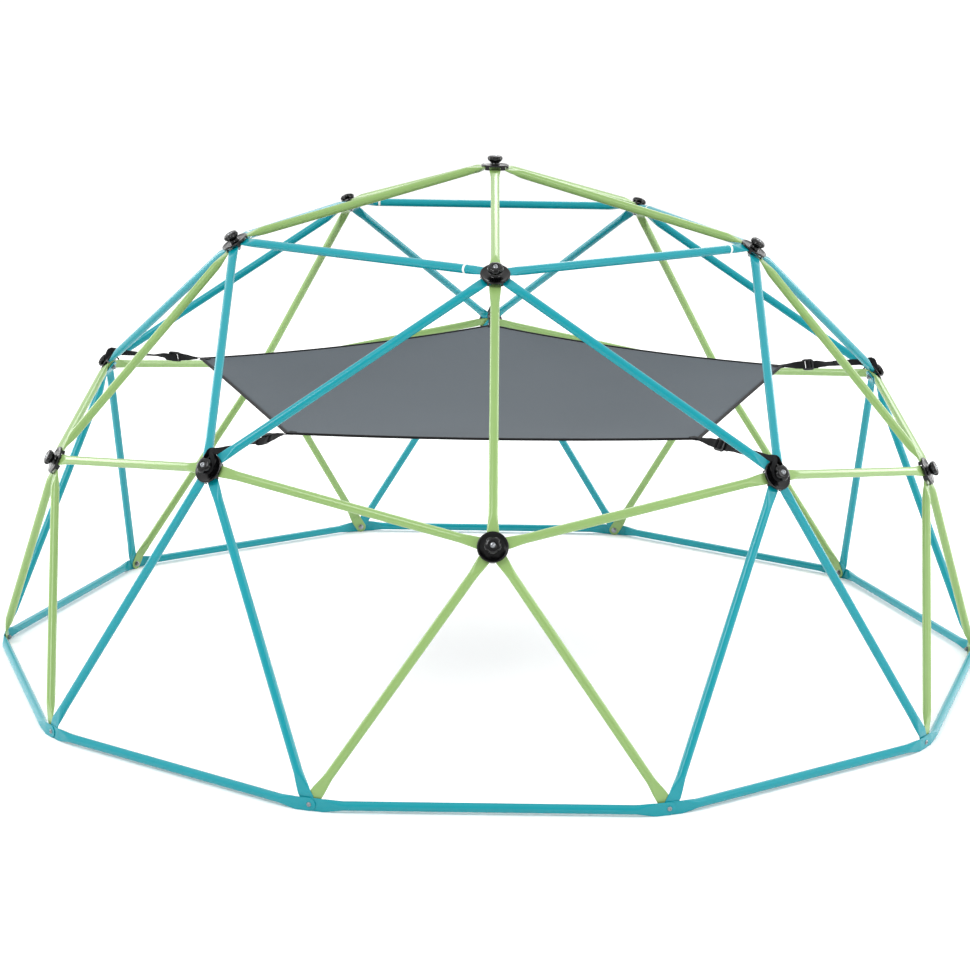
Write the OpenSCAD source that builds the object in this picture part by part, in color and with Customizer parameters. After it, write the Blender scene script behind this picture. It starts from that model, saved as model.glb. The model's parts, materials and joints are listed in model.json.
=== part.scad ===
// Dome climber: 65 steel tubes with flattened, bent ends, bolted through
// 16 capped hubs and 10 base joints, with a hammock strapped to the five upper
// six-way hubs. +Z is up, the ground is z = 0, and the dome's axis is the Z axis.
// Azimuth 0 is the front (-Y) and grows towards +X.

/* [Dome] */
// Radius of the circle through the base joints' bolts
base_radius = 1500; // [1300:10:1650]
// Radius of the sphere that holds the five-way hubs, as a share of base_radius
five_way_share = 0.986; // [0.975:0.001:1]

/* [Tubes] */
// Outside diameter of every tube
tube_d = 25; // [23:0.5:28]
// Wall thickness of every tube
tube_wall = 1.2; // [1:0.1:1.8]
// Width of a tube's end once it is pressed flat
plate_w = 36; // [34:0.5:38]
// Distance from a joint's bolt to the bend in each tube's end
bend_at = 36; // [34:1:42]
// Length over which a flat end opens out into the round tube
flare_l = 54; // [45:1:70]

/* [Hub caps] */
// Outside diameter of a cap's flange
cap_d = 82; // [70:1:84]
// Diameter across the lobes of the knob on a cap
knob_d = 48; // [44:1:54]
// Number of lobes round the knob
knob_lobes = 5; // [3:1:8]

/* [Fasteners] */
// Diameter of every bolt's shank
bolt_d = 8; // [6:1:8]
// Diameter of a hub bolt's button head
hub_head_d = 16.5; // [15:0.5:17]
// Diameter of a base bolt's round head
base_head_d = 12.5; // [12:0.5:16]

/* [Hammock] */
// Distance from the dome's axis to each corner of the cloth
corner_r = 965; // [900:5:1000]
// How far each edge of the cloth curves in from a straight line
edge_dip = 13; // [5:1:30]
// How far the cloth's middle hangs below its corners
sag = 32; // [15:1:60]
// Thickness of the cloth
cloth_t = 2; // [1:0.5:3]
// Width of the webbing straps
webbing_w = 25; // [20:1:30]

/* [Hidden] */
GREEN = "#8fbe62";
BLUE = "#0fa3b8";
BLACK = "#161618";
ZINC = "#c9ccd0";

round_fn = 64;
plate_t = 2 * tube_wall;
coat = 0.1; // powder coat between two stacked plates
place_h = plate_t + coat;
hole_d = bolt_d + 0.4;
ground_to_bolt = plate_w / 2;
centre = [0, 0, ground_to_bolt];

// Angles from straight up to each ring of joints, from the icosahedron.
belt_five_polar = atan(2);
crown_polar = belt_five_polar / 2;
belt_six_polar = 90 - crown_polar;
step = 72;

function joint(polar, az, r) =
    centre + r * [sin(polar) * sin(az), -sin(polar) * cos(az), cos(polar)];
apex = joint(0, 0, base_radius * five_way_share);
function crown(i) = joint(crown_polar, step * i, base_radius);
function belt_five(i) = joint(belt_five_polar, step * i, base_radius * five_way_share);
function belt_six(i) = joint(belt_six_polar, step * (i + 0.5), base_radius);
function base(j) = joint(90, step * ((j % 10) / 2 + 0.25), base_radius);

// A tube is [start, end, place of each end in its joint's stack of plates].
// Place 0 is innermost. Each joint's stack is as deep as the tubes that it joins.
function spoke(i) = [apex, crown(i), i, 5];
function crown_bar(i) = [crown(i), crown(i + 1), 3, 4];
function riser(i) = [crown(i), belt_five(i), 0, 4];
function upper_left(i) = [crown(i), belt_six(i), 2, 5];
function upper_right(i) = [crown(i + 1), belt_six(i), 1, 4];
function belt_left(i) = [belt_five(i), belt_six(i), 3, 2];
function belt_right(i) = [belt_five(i + 1), belt_six(i), 2, 3];
function five_leg_right(i) = [belt_five(i), base(2 * i), 1, 0];
function five_leg_left(i) = [belt_five(i), base(2 * i + 9), 0, 0];
function six_leg_left(i) = [belt_six(i), base(2 * i), 1, 1];
function six_leg_right(i) = [belt_six(i), base(2 * i + 1), 0, 1];
function ring_bar(j) = [base(j), base(j + 1), 2, 3];

// Each group is one node: its name, its colour and its tubes.
tube_groups = [for (i = [0:4]) each [
    [str("apex_spoke_", i + 1), GREEN, [spoke(i)]],
    [str("crown_bar_", i + 1), BLUE, [crown_bar(i)]],
    [str("riser_", i + 1), GREEN, [riser(i)]],
    [str("upper_pair_", i + 1), BLUE, [upper_left(i), upper_right(i)]],
    [str("belt_pair_", i + 1), GREEN, [belt_left(i), belt_right(i)]],
    [str("five_way_legs_", i + 1), GREEN, [five_leg_left(i), five_leg_right(i)]],
    [str("six_way_legs_", i + 1), BLUE, [six_leg_left(i), six_leg_right(i)]],
    [str("base_bars_", i + 1), BLUE, [ring_bar(2 * i), ring_bar(2 * i + 1)]]
]];
tubes = [for (g = tube_groups) each g[2]];

// Every node's name.

function unit(v) = v / norm(v);
function outward(p) = unit(p - centre);
function same(p, q) = norm(p - q) < 1;
function neighbours(p) = [for (t = tubes) each concat(
    same(t[0], p) ? [t[1]] : [], same(t[1], p) ? [t[0]] : [])];
function stack_h(p) = len(neighbours(p)) * place_h;

// Puts children in a frame with its origin at o and its axes along x, y and z.
module in_frame(o, x, y, z) {
    multmatrix([[x[0], y[0], z[0], o[0]],
                [x[1], y[1], z[1], o[1]],
                [x[2], y[2], z[2], o[2]],
                [0, 0, 0, 1]]) children();
}

// A joint's own frame: Z outward along its bolt, X up the dome (the front, at the apex).
function joint_up(p) = same(p, apex) ? [0, -1, 0]
    : unit([0, 0, 1] - outward(p)[2] * outward(p));
module at_joint(p) {
    z = outward(p);
    x = joint_up(p);
    in_frame(p, x, cross(z, x), z) children();
}
function bearing(p, q) =
    let (d = q - p, x = joint_up(p), y = cross(outward(p), x)) atan2(d * y, d * x);

hub_rings = [[apex], [for (i = [0:4]) crown(i)], [for (i = [0:4]) belt_five(i)],
             [for (i = [0:4]) belt_six(i)]];
hubs = [for (ring = hub_rings) each ring];
base_joints = [for (j = [0:9]) base(j)];

// ---- Tubes ----

// The flat end in plan, with its bolt hole, from the bolt to just past the bend.
// The ends that stand on the ground keep their full width.
module plate_outline(bend_w) {
    difference() {
        union() {
            circle(d = plate_w, $fn = round_fn);
            polygon([[0, -plate_w / 2], [bend_at, -bend_w / 2],
                     [bend_at, bend_w / 2], [0, plate_w / 2]]);
        }
        circle(d = hole_d, $fn = round_fn);
    }
}

// One end of a tube. tilt is the angle from the tube up to the flat end, lift is the
// flat end's height in its stack, and slope is the angle from the chord to the tube.
// The flare between them is a cone with a flat above and a flat below. It starts inside
// the flat end and stops inside the round tube's wall.
module tube_end(tilt, lift, slope, bend_w) {
    inset = 0.5;
    in_plate = 2;
    in_tube = 1;
    half_t = plate_t / 2 - inset;
    bend = bend_point(tilt, lift);
    from_bolt = function(s, h)
        [s * cos(tilt) - h * sin(tilt), s * sin(tilt) + h * cos(tilt)];
    from_bend = function(s, h)
        [bend[0] + s * cos(slope) - h * sin(slope), bend[2] + s * sin(slope) + h * cos(slope)];
    rotate([0, -tilt, 0])
        translate([0, 0, lift - plate_t / 2])
            linear_extrude(plate_t) plate_outline(bend_w);
    intersection() {
        translate(bend)
            rotate([0, 90 - slope, 0])
                translate([0, 0, -2 * in_plate])
                    cylinder(d1 = bend_w - 2 * inset, d2 = tube_d - tube_wall,
                             h = flare_l + in_tube + 2 * in_plate, $fn = round_fn);
        translate([0, plate_w, 0])
            rotate([90, 0, 0])
                linear_extrude(2 * plate_w)
                    polygon([from_bolt(bend_at - in_plate, lift - half_t),
                             from_bend(flare_l + in_tube, -tube_d / 2),
                             from_bend(flare_l + in_tube, tube_d / 2),
                             from_bolt(bend_at - inset, lift + half_t),
                             from_bolt(bend_at - in_plate, lift + half_t)]);
    }
}

function bend_point(tilt, lift) =
    [bend_at * cos(tilt) - lift * sin(tilt), 0, bend_at * sin(tilt) + lift * cos(tilt)];

function plate_lift(p, place) = (place + 0.5) * place_h - stack_h(p) / 2;
function end_width(p) = same([p[0], p[1], ground_to_bolt], p) ? plate_w : plate_w - 3.4;

module tube(t) {
    a = t[0];
    b = t[1];
    chord = norm(b - a);
    x = (b - a) / chord;
    mid = outward((a + b) / 2);
    z = unit(mid - (mid * x) * x);
    tilt_a = asin(-(outward(a) * x));
    tilt_b = asin(outward(b) * x);
    lift_a = plate_lift(a, t[2]);
    lift_b = plate_lift(b, t[3]);
    bend_a = bend_point(tilt_a, lift_a);
    bend_b = bend_point(tilt_b, lift_b);
    run = chord - bend_a[0] - bend_b[0];
    rise = bend_b[2] - bend_a[2];
    slope = atan2(rise, run);
    in_frame(a, x, cross(z, x), z) {
        tube_end(tilt_a, lift_a, slope, end_width(a));
        translate([chord, 0, 0])
            mirror([1, 0, 0])
                tube_end(tilt_b, lift_b, -slope, end_width(b));
        translate(bend_a)
            rotate([0, 90 - slope, 0])
                translate([0, 0, flare_l])
                    round_tube(norm([run, rise]) - 2 * flare_l);
    }
}

module round_tube(l) {
    difference() {
        cylinder(d = tube_d, h = l, $fn = round_fn);
        translate([0, 0, -1]) cylinder(d = tube_d - 2 * tube_wall, h = l + 2, $fn = round_fn);
    }
}

module tube_group(g) {
    color(g[1]) for (t = g[2]) tube(t);
}

// White sizing bands round the crown bars, close to their right-hand ends.
band_w = 7;
band_t = 0.4;
band_from_hub = 98;
module crown_bar_bands() {
    gap = 0.05;
    color("white") for (i = [0:4]) {
        a = crown(i);
        b = crown(i + 1);
        chord = norm(b - a);
        x = (b - a) / chord;
        mid = outward((a + b) / 2);
        z = unit(mid - (mid * x) * x);
        tilt = asin(outward(b) * x);
        bend_a = bend_point(tilt, plate_lift(a, crown_bar(i)[2]));
        bend_b = bend_point(tilt, plate_lift(b, crown_bar(i)[3]));
        slope = atan2(bend_b[2] - bend_a[2], chord - bend_a[0] - bend_b[0]);
        in_frame(a, x, cross(z, x), z)
            translate(bend_a)
                rotate([0, 90 - slope, 0])
                    translate([0, 0, chord - band_from_hub - bend_a[0]])
                        difference() {
                            cylinder(d = tube_d + 2 * band_t, h = band_w, $fn = round_fn);
                            translate([0, 0, -1])
                                cylinder(d = tube_d + 2 * gap, h = band_w + 2, $fn = round_fn);
                        }
    }
}

// ---- Hub caps ----

rim_h = 5;       // flange's raised rim above the plates
dish_h = 3;      // flange's dished floor above the plates
skirt_drop = 10; // skirt below the outermost plate's face
neck_h = 9.5;    // narrowest point of the neck
head_h = 31;     // top of the knob
recess_h = 27;   // floor of the bolt head's recess

// The flange, its skirt and the neck, turned about the bolt. z = 0 is the stack's face.
module cap_body() {
    cap_r = cap_d / 2;
    skirt_t = 3;
    rotate_extrude($fn = round_fn)
        polygon([
            [hole_d / 2, 0], [cap_r - skirt_t, 0], [cap_r - skirt_t, -skirt_drop],
            [cap_r, -skirt_drop], [cap_r, rim_h - 1.5], [cap_r - 1.5, rim_h],
            [cap_r - 4, rim_h], [cap_r - 6.5, dish_h], [18, dish_h], [17, 6],
            [13, neck_h], [14, neck_h + 2], [14, recess_h - 2], [hole_d / 2, recess_h - 2]
        ]);
}

// The lobed knob: a star in plan, rounded over above and below.
module knob() {
    lobe_r = knob_d * 0.21;
    bore = hub_head_d + 0.8;
    difference() {
        intersection() {
            translate([0, 0, neck_h + 2])
                linear_extrude(head_h - neck_h - 2) {
                    circle(d = knob_d * 0.75, $fn = round_fn);
                    for (k = [0:knob_lobes - 1])
                        rotate(360 / knob_lobes * (k + 0.5))
                            translate([knob_d / 2 - lobe_r, 0])
                                circle(r = lobe_r, $fn = round_fn);
                }
            rotate_extrude($fn = round_fn)
                polygon([
                    [0, neck_h], [14, neck_h + 2], [20, 17], [knob_d / 2 - 1, 20],
                    [knob_d / 2 - 0.5, 23.5], [21, 27.5], [17, 30], [12, head_h], [0, head_h]
                ]);
        }
        translate([0, 0, recess_h]) cylinder(d = bore, h = head_h, $fn = round_fn);
        cylinder(d = hole_d, h = head_h, $fn = round_fn);
    }
}

module cap(p) {
    notch_w = end_width(p) + 1.4;
    at_joint(p)
        translate([0, 0, stack_h(p) / 2]) {
            difference() {
                cap_body();
                for (q = neighbours(p))
                    rotate(bearing(p, q))
                        translate([20, -notch_w / 2, -skirt_drop - 1])
                            cube([cap_d, notch_w, skirt_drop + 1]);
            }
            knob();
        }
}

module caps(ring) {
    color(BLACK) for (p = ring) cap(p);
}

// ---- Fasteners ----

washer_t = 1.6;
nut_h = 6.5;
nut_af = 13;
thread_past_nut = 3;

// A button-head bolt with its head's flat at z = 0 and its shank below.
module button_bolt(head_d, shank_l) {
    head_t = head_d * 0.3;
    difference() {
        union() {
            rotate_extrude($fn = round_fn)
                polygon([[0, 0], [head_d / 2, 0], [head_d / 2, head_t * 0.35],
                         [head_d * 0.42, head_t * 0.75], [head_d * 0.3, head_t], [0, head_t]]);
            translate([0, 0, -shank_l]) cylinder(d = bolt_d, h = shank_l + 1, $fn = round_fn);
        }
        translate([0, 0, head_t * 0.35]) cylinder(d = head_d * 0.36, h = head_t, $fn = 6);
    }
}

module nut() {
    difference() {
        cylinder(d = nut_af / cos(30), h = nut_h, $fn = 6);
        translate([0, 0, -1]) cylinder(d = bolt_d + 0.1, h = nut_h + 2, $fn = round_fn);
    }
}

module washer() {
    difference() {
        cylinder(d = 2.4 * bolt_d, h = washer_t, $fn = round_fn);
        translate([0, 0, -1]) cylinder(d = hole_d, h = washer_t + 2, $fn = round_fn);
    }
}

module bolts(joints, head_d, seat_h) {
    color(ZINC) for (p = joints)
        at_joint(p)
            translate([0, 0, stack_h(p) / 2 + seat_h])
                button_bolt(head_d, seat_h + stack_h(p) + washer_t + nut_h + thread_past_nut);
}

module washers(joints) {
    color(ZINC) for (p = joints)
        at_joint(p) translate([0, 0, -stack_h(p) / 2 - washer_t]) washer();
}

module nuts(joints) {
    color(ZINC) for (p = joints)
        at_joint(p) translate([0, 0, -stack_h(p) / 2 - washer_t - nut_h]) nut();
}

// ---- Hammock ----

webbing_t = 1.8;
binding_w = 10;
binding_t = 5;
tongue_l = 42;    // how far each neck loop reaches in past the flange's rim
tongue_w = 11;    // its width where the two upper tubes pinch it
rim_gap = 1.4;    // from the rim to the webbing that lies over it
buckle_r = 1052;  // from the dome's axis to the middle of a buckle
buckle_l = 38;
buckle_w = 36;
buckle_t = 5;
on_edge = 65;     // how far the tabs, buckles and straps stand up from lying flat

// Where the webbing turns inward over a six-way cap's rim, in that cap's own frame.
six_stack = stack_h(belt_six(0));
turn_x = cap_d / 2 + 2.5;
turn_z = six_stack / 2 + rim_h + rim_gap + webbing_t / 2;

// The same point as a distance from the dome's axis and a height.
hub_r = base_radius * sin(belt_six_polar);
turn_r = hub_r - turn_x * cos(belt_six_polar) + turn_z * sin(belt_six_polar);
hammock_z = centre[2] + base_radius * cos(belt_six_polar)
    + turn_x * sin(belt_six_polar) + turn_z * cos(belt_six_polar);
strap_end_r = turn_r - tongue_l;

// Turns X towards the six-way hub i, lifts Z to the hammock's corners, and stands the
// children up on edge about X.
module at_corner(i) {
    rotate([0, 0, step * (i + 0.5) - 90])
        translate([0, 0, hammock_z])
            rotate([on_edge, 0, 0]) children();
}

// A shell hung in a shallow bowl: its depth at radius r is sag * (1 - (r / corner_r)^2).
bowl_steps = 12;
function bowl_z(r) = -sag * (1 - pow(r / corner_r, 2));
module bowl(t) {
    rs = [for (k = [0:bowl_steps]) (corner_r + 20) * k / bowl_steps];
    translate([0, 0, hammock_z])
        rotate_extrude($fn = round_fn)
            polygon(concat([for (r = rs) [r, bowl_z(r) + t / 2]],
                           [for (k = [bowl_steps:-1:0]) [rs[k], bowl_z(rs[k]) - t / 2]]));
}

// The cloth in plan: a pentagon with each edge curved in, brought in by inset. u runs
// from -1 to 1 along the edge that faces azimuth step * i.
edge_steps = 16;
corner_apothem = corner_r * cos(step / 2);
function edge_point(i, u, inset) =
    let (d = corner_apothem - inset - edge_dip * (1 - u * u),
         w = (corner_apothem - inset) * tan(step / 2) * u,
         az = step * i)
    [d * sin(az) + w * cos(az), w * sin(az) - d * cos(az)];
module cloth_outline(inset) {
    polygon([for (i = [0:4]) for (k = [0:edge_steps - 1])
        edge_point(i, 2 * k / edge_steps - 1, inset)]);
}

module cloth_prism(inset) {
    translate([0, 0, hammock_z - sag - 20])
        linear_extrude(sag + 40) cloth_outline(inset);
}

module hammock_panel() {
    color("#6c747a") intersection() {
        bowl(cloth_t);
        cloth_prism(binding_w);
    }
}

module hammock_binding() {
    color(BLACK) intersection() {
        bowl(binding_t);
        difference() {
            cloth_prism(0);
            cloth_prism(binding_w);
        }
    }
}

// Doubled webbing sewn to each corner, out to the buckle's inner bar.
module corner_tabs() {
    tab_w = 22;
    tab_end = buckle_r - buckle_l / 2 - 0.5;
    color(BLACK) for (i = [0:4])
        at_corner(i)
            translate([corner_r + 0.5, -tab_w / 2, -webbing_t])
                cube([tab_end - corner_r - 0.5, tab_w, 2 * webbing_t]);
}

// Ladder-lock buckles: a moulded frame with two slots.
module strap_buckles() {
    bar = 5;
    slot_l = (buckle_l - 3 * bar) / 2;
    color(BLACK) for (i = [0:4])
        at_corner(i)
            translate([buckle_r - buckle_l / 2, 0, -buckle_t / 2])
                difference() {
                    translate([0, -buckle_w / 2, 0]) cube([buckle_l, buckle_w, buckle_t]);
                    for (x = [bar, 2 * bar + slot_l])
                        translate([x, bar - buckle_w / 2, -1])
                            cube([slot_l, buckle_w - 2 * bar, buckle_t + 2]);
                }
}

// One strap, from the end of its neck loop in to its buckle.
module strap(i) {
    gap = 1.5;
    buckle_end = buckle_r + buckle_l / 2 + 2 * gap;
    color(BLACK) at_corner(i)
        translate([buckle_end, -webbing_w / 2, -webbing_t / 2])
            cube([strap_end_r - gap - buckle_end, webbing_w, webbing_t]);
}

// The strap's outer end: a loop of webbing round a knob's neck, whose two legs come
// together over the flange's rim and turn in between the two upper tubes.
module neck_loops() {
    loop_r = 17.3;
    loop_t = 2.5;
    low = turn_z - webbing_t / 2;
    color(BLACK) for (i = [0:4])
        at_joint(belt_six(i)) {
            translate([0, 0, low])
                linear_extrude(webbing_t) difference() {
                    union() {
                        circle(r = loop_r + loop_t, $fn = round_fn);
                        polygon([[0, -loop_r - loop_t], [turn_x, -tongue_w / 2],
                                 [turn_x, tongue_w / 2], [0, loop_r + loop_t]]);
                    }
                    circle(r = loop_r, $fn = round_fn);
                }
            translate([turn_x, tongue_w / 2, turn_z])
                rotate([90, 0, 0])
                    linear_extrude(tongue_w)
                        rotate(-belt_six_polar)
                            translate([0, -webbing_t / 2]) square([tongue_l, webbing_t]);
        }
}

// ---- Assembly ----

for (g = tube_groups)
    tube_group(g);
caps(hub_rings[0]);  // apex_cap
caps(hub_rings[1]);  // crown_caps
caps(hub_rings[2]);  // belt_caps_five_way
caps(hub_rings[3]);  // belt_caps_six_way
bolts(hubs, hub_head_d, recess_h);  // hub_bolts
nuts(hubs);  // hub_nuts
bolts(base_joints, base_head_d, 0);  // base_bolts
nuts(base_joints);  // base_nuts
washers(concat(hubs, base_joints));
crown_bar_bands();
hammock_panel();
hammock_binding();
corner_tabs();
strap_buckles();
neck_loops();
for (i = [0:4])
    strap(i);
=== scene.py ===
"""Dome climber: finished tubes, caps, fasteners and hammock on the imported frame."""

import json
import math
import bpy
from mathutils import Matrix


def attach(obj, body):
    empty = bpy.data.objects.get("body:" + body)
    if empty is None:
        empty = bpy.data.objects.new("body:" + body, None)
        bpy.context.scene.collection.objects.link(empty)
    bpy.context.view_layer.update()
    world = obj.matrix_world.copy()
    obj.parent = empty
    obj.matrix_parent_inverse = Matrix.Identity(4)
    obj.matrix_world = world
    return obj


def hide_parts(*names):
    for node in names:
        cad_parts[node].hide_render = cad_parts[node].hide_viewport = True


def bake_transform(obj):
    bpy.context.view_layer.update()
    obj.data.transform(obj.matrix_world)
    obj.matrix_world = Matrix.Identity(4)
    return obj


bl_info = {
    "name": "Dome Climber",
    "version": (1, 0, 0),
    "blender": (4, 5, 0),
    "location": "3D View > Sidebar > Climber",
    "description": "Models and finishes a climbing dome with a hammock hung inside it",
    "category": "Object",
}

import bmesh
import bpy
from bpy.props import (
    FloatProperty,
    FloatVectorProperty,
    IntProperty,
    PointerProperty,
    StringProperty,
)
from mathutils import Matrix, Vector

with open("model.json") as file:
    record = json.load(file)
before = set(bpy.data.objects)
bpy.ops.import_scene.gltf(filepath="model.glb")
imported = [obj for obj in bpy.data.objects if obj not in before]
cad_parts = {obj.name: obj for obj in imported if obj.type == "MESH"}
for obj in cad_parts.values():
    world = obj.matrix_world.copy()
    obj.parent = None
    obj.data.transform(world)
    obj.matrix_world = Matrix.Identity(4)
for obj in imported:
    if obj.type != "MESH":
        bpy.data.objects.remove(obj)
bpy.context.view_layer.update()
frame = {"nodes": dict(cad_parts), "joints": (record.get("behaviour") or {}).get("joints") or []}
HINGES = {
    j["child"]: Vector(j["pos_m"]) for j in frame["joints"] if j["type"] == "hinge"
}

MM = 0.001
TURN = 2 * math.pi
STEP = TURN / 5
UP = Vector((0, 0, 1))

# Angles from straight up to each ring of joints, from the icosahedron.
BELT_FIVE = math.atan(2)
CROWN = BELT_FIVE / 2
BELT_SIX = math.pi / 2 - CROWN


# ---- Settings ----


class ClimberDome(bpy.types.PropertyGroup):
    """Sizes of the steel dome."""

    base_radius: FloatProperty(
        name="Base radius", description="Circle through the base bolts", default=1.5,
        unit="LENGTH",
    )
    five_way_share: FloatProperty(
        name="Five-way share", description="Five-way hubs' radius over base radius",
        default=0.986, subtype="FACTOR",
    )
    tube_d: FloatProperty(
        name="Tube", description="Outside diameter of a tube", default=25 * MM,
        unit="LENGTH",
    )
    tube_wall: FloatProperty(
        name="Wall", description="Wall thickness of a tube", default=1.2 * MM,
        unit="LENGTH",
    )
    plate_w: FloatProperty(
        name="Flat end", description="Width of a pressed end at its bolt",
        default=36 * MM, unit="LENGTH",
    )
    bend_w: FloatProperty(
        name="Bend width", description="Width of a pressed end where it leaves a cap",
        default=32.6 * MM, unit="LENGTH",
    )
    bend_at: FloatProperty(
        name="Bend", description="Distance from a joint's bolt to the bend",
        default=36 * MM, unit="LENGTH",
    )
    flare_l: FloatProperty(
        name="Flare", description="Length over which an end opens to the round tube",
        default=54 * MM, unit="LENGTH",
    )


class ClimberFittings(bpy.types.PropertyGroup):
    """Sizes of the caps and fasteners."""

    cap_d: FloatProperty(
        name="Cap", description="Diameter of a cap's flange", default=82 * MM,
        unit="LENGTH",
    )
    knob_d: FloatProperty(
        name="Knob", description="Diameter across a knob's lobes", default=48 * MM,
        unit="LENGTH",
    )
    knob_lobes: IntProperty(name="Lobes", description="Lobes on a knob", default=5)
    bolt_d: FloatProperty(
        name="Bolt", description="Diameter of a bolt's shank", default=8 * MM,
        unit="LENGTH",
    )
    hub_head_d: FloatProperty(
        name="Hub head", description="Diameter of a hub bolt's head",
        default=16.5 * MM, unit="LENGTH",
    )
    base_head_d: FloatProperty(
        name="Base head", description="Diameter of a base bolt's head",
        default=12.5 * MM, unit="LENGTH",
    )
    nut_af: FloatProperty(
        name="Nut", description="Width of a nut across its flats", default=13 * MM,
        unit="LENGTH",
    )


class ClimberHammock(bpy.types.PropertyGroup):
    """Sizes of the hammock and its straps."""

    corner_r: FloatProperty(
        name="Corner radius", description="Dome's axis to a corner of the cloth",
        default=0.965, unit="LENGTH",
    )
    edge_dip: FloatProperty(
        name="Edge dip", description="How far each edge curves in", default=13 * MM,
        unit="LENGTH",
    )
    sag: FloatProperty(
        name="Sag", description="How far the middle hangs below the corners",
        default=32 * MM, unit="LENGTH",
    )
    binding_w: FloatProperty(
        name="Binding", description="Width of the tape round the edge",
        default=10 * MM, unit="LENGTH",
    )
    webbing_w: FloatProperty(
        name="Webbing width", description="Width of a strap", default=25 * MM,
        unit="LENGTH",
    )
    webbing_t: FloatProperty(
        name="Webbing", description="Thickness of a strap", default=1.8 * MM,
        unit="LENGTH",
    )
    buckle_r: FloatProperty(
        name="Buckle radius", description="Dome's axis to the middle of a buckle",
        default=1.052, unit="LENGTH",
    )
    cloth_cells: IntProperty(
        name="Cloth cells", description="Cells along half an edge of the cloth",
        default=34,
    )
    settle_frames: IntProperty(
        name="Settling time", description="Frames for which the cloth hangs freely",
        default=36,
    )


class ClimberFinish(bpy.types.PropertyGroup):
    """Colours of the finishes, as sRGB hex."""

    green: StringProperty(
        name="Green", description="Green powder coat", default="#87a763"
    )
    blue: StringProperty(
        name="Blue", description="Blue powder coat", default="#008d99"
    )
    plastic: StringProperty(
        name="Caps", description="Moulded caps", default="#040405"
    )
    zinc: StringProperty(
        name="Fasteners", description="Zinc-plated steel", default="#9a9da1"
    )
    band: StringProperty(
        name="Bands", description="Vinyl sizing bands", default="#f4f4f2"
    )
    cloth: StringProperty(
        name="Cloth", description="Hammock cloth", default="#3f474e"
    )
    webbing: StringProperty(
        name="Webbing", description="Straps and binding", default="#0d0d0f"
    )
    floor: StringProperty(
        name="Floor", description="Studio floor", default="#ffffff"
    )


class ClimberStage(bpy.types.PropertyGroup):
    """Camera and lights."""

    camera: FloatVectorProperty(
        name="Camera", description="Where the camera stands", subtype="XYZ",
        default=(-0.0465, -7.706, 2.386), unit="LENGTH",
    )
    pitch: FloatProperty(
        name="Pitch", description="How far the camera looks down",
        default=math.radians(13.59), subtype="ANGLE",
    )
    yaw: FloatProperty(
        name="Yaw", description="How far the camera looks to the right",
        default=math.radians(0.22), subtype="ANGLE",
    )
    roll: FloatProperty(
        name="Roll", description="How far the camera leans",
        default=math.radians(0.78), subtype="ANGLE",
    )
    lens: FloatProperty(
        name="Lens", description="Focal length for a 36 mm sensor", default=95.76
    )


# ---- Where things are ----


def axes(origin, x, y, z):
    """The matrix whose columns are three axes and an origin."""
    return Matrix([(x[i], y[i], z[i], origin[i]) for i in range(3)] + [(0, 0, 0, 1)])


def between(a, b, share):
    return a + (b - a) * share


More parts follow.
